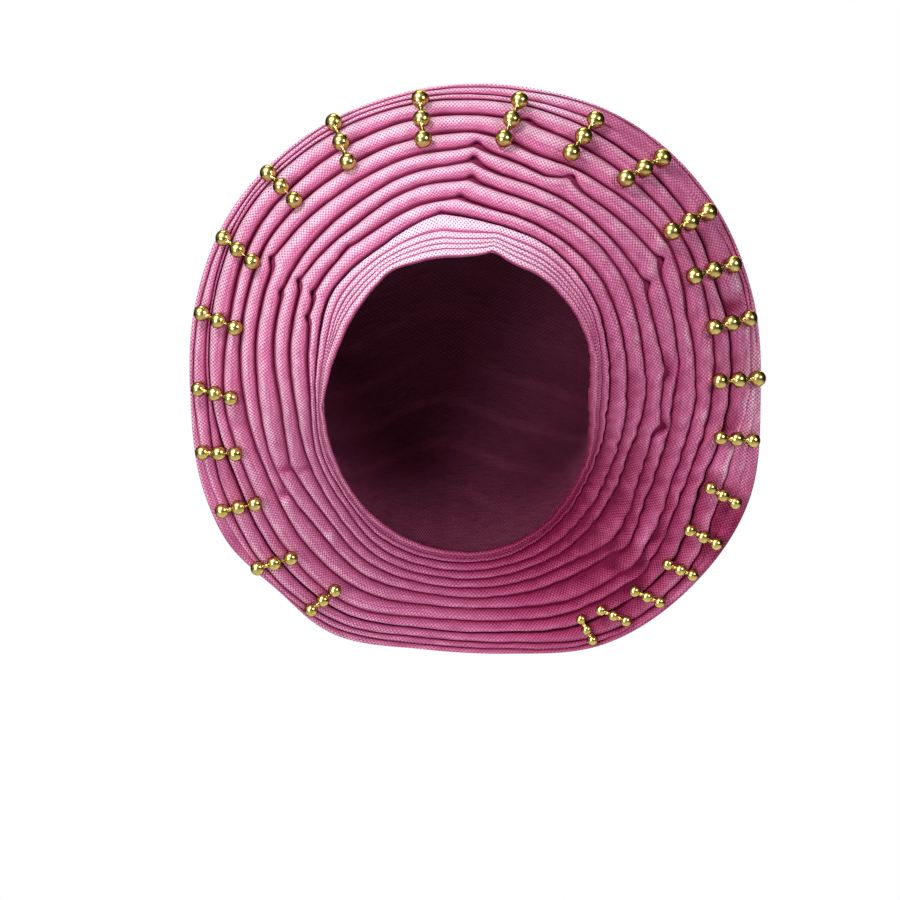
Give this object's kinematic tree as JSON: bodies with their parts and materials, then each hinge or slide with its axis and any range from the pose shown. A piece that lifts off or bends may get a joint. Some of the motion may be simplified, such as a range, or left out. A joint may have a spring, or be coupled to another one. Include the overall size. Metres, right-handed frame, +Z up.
{
  "type": "tied gele head tie",
  "caption": "Tied gele head tie in pink woven cloth, pleated round the face in a wide fan, wrapped over the crown and sewn with gold beads in threes.",
  "frame": {"origin": "the seat on the crown of the head, inside the wrap", "axes": "+Z up, -Y out of the face opening, +X to the viewer's right"},
  "size_m": [0.298, 0.1946, 0.2961],
  "materials": {
    "cloth": "satin",
    "gold": "polished"
  },
  "bodies": {
    "root": {"face_band": "cloth", "pleat_fan": "cloth", "rim_folds": "cloth", "crown_wrap": "cloth", "nape_knot": "cloth", "bead_trio_01": "gold", "bead_trio_02": "gold", "bead_trio_03": "gold", "bead_trio_04": "gold", "bead_trio_05": "gold", "bead_trio_06": "gold", "bead_trio_07": "gold", "bead_trio_08": "gold", "bead_trio_09": "gold", "bead_trio_10": "gold", "bead_trio_11": "gold", "bead_trio_12": "gold", "bead_trio_13": "gold", "bead_trio_14": "gold", "bead_trio_15": "gold", "bead_trio_16": "gold", "bead_trio_17": "gold", "bead_trio_18": "gold", "bead_trio_19": "gold", "bead_trio_20": "gold", "bead_trio_21": "gold", "bead_trio_22": "gold", "bead_trio_23": "gold", "bead_trio_24": "gold"}
  },
  "joints": []
}
